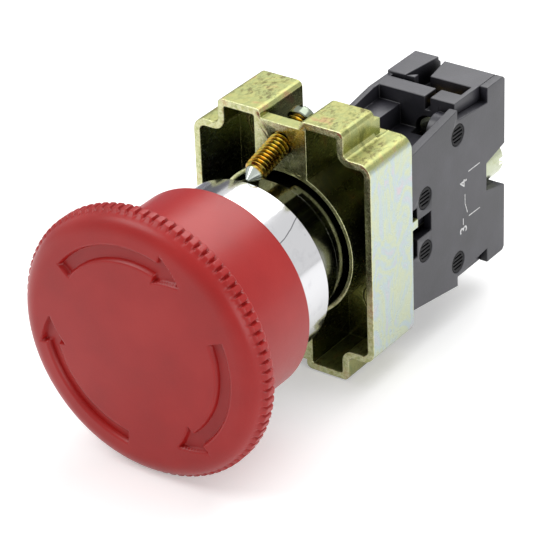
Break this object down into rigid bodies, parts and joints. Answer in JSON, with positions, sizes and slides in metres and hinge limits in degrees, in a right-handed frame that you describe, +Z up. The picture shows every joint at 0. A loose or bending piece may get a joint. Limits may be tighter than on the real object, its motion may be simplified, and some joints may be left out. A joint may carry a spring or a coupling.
{
  "type": "emergency stop button",
  "caption": "Push-to-stop, turn-to-release mushroom head button with chrome bezel, clamping collar and one screw-terminal contact block for a 22 mm panel hole.",
  "frame": {"origin": "on the button axis, in the plane where the bezel's gasket meets the panel", "axes": "+Y into the panel along the button axis, +Z up along the collar's long side, +X to the right seen from the front"},
  "size_m": [0.0412, 0.0744, 0.0412],
  "materials": {
    "red_head": "satin red enamel over metal",
    "chrome": "bright chrome plate with light handling marks",
    "passivated_zinc": "iridescent yellow passivated zinc casting",
    "passivated_screw": "yellow passivated thread",
    "zinc_screw": "bright zinc plate",
    "black_plastic": "matt moulded dark grey plastic",
    "natural_plastic": "natural moulded plastic",
    "green_plastic": "green moulded plastic",
    "rubber": "matt rubber",
    "spring_steel": "drawn spring wire",
    "contact_brass": "stamped brass strip",
    "silver_tip": "silver alloy contact rivet"
  },
  "bodies": {
    "root": {"bezel_body": "chrome", "stem_bush": "black_plastic", "stem_seal": "rubber", "panel_gasket": "rubber", "latch_ring": "natural_plastic", "return_spring": "spring_steel", "collar_body": "passivated_zinc", "block_housing": "black_plastic", "block_cover": "black_plastic", "cover_pins": "black_plastic", "block_screw": "zinc_screw", "block_screw_washer": "zinc_screw", "fixed_tips": "silver_tip", "fixed_contact_4": "contact_brass", "fixed_contact_3": "contact_brass", "plunger_spring": "spring_steel"},
    "pusher": {"pusher": "natural_plastic"},
    "mushroom": {"mushroom_head": "red_head", "head_stem": "spring_steel", "retaining_clip": "spring_steel"},
    "plunger": {"contact_plunger": "green_plastic", "contact_spring": "spring_steel"},
    "bridge": {"bridge_contact": "contact_brass", "bridge_tips": "silver_tip"},
    "clamp_top": {"clamp_screw_top": "passivated_screw"},
    "clamp_bottom": {"clamp_screw_bottom": "passivated_screw"},
    "terminal_4": {"terminal_screw_4": "zinc_screw", "terminal_clamp_4": "contact_brass"},
    "terminal_3": {"terminal_screw_3": "zinc_screw", "terminal_clamp_3": "contact_brass"}
  },
  "joints": [
    {"name": "push", "type": "slide", "parent": "root", "child": "pusher", "axis": [0, 1, 0], "range_m": [0, 0.0045], "stiffness_N_per_m": 4000, "springref_m": -0.003, "deforming": ["return_spring"]},
    {"name": "twist", "type": "hinge", "parent": "pusher", "child": "mushroom", "pos_m": [0, 0, 0], "axis": [0, 1, 0], "range_deg": [0, 45], "stiffness_Nm_per_rad": 0.15},
    {"name": "plunger_slide", "type": "slide", "parent": "root", "child": "plunger", "axis": [0, 1, 0], "range_m": [0, 0.0045], "deforming": ["plunger_spring"]},
    {"name": "bridge_slide", "type": "slide", "parent": "root", "child": "bridge", "axis": [0, 1, 0], "range_m": [0, 0.00225], "deforming": ["contact_spring"]},
    {"name": "clamp_top_retract", "type": "slide", "parent": "root", "child": "clamp_top", "axis": [0, 0.9677, 0.2521], "range_m": [0, 0.006]},
    {"name": "clamp_bottom_retract", "type": "slide", "parent": "root", "child": "clamp_bottom", "axis": [0, 0.9677, -0.2521], "range_m": [0, 0.006]},
    {"name": "terminal_4_tighten", "type": "slide", "parent": "root", "child": "terminal_4", "axis": [0, -1, 0], "range_m": [0, 0.0016]},
    {"name": "terminal_3_tighten", "type": "slide", "parent": "root", "child": "terminal_3", "axis": [0, -1, 0], "range_m": [0, 0.0016]}
  ],
  "couplings": [
    {"joint": "plunger_slide", "follows": "push", "ratio": 1},
    {"joint": "bridge_slide", "follows": "push", "ratio": 0.5}
  ]
}
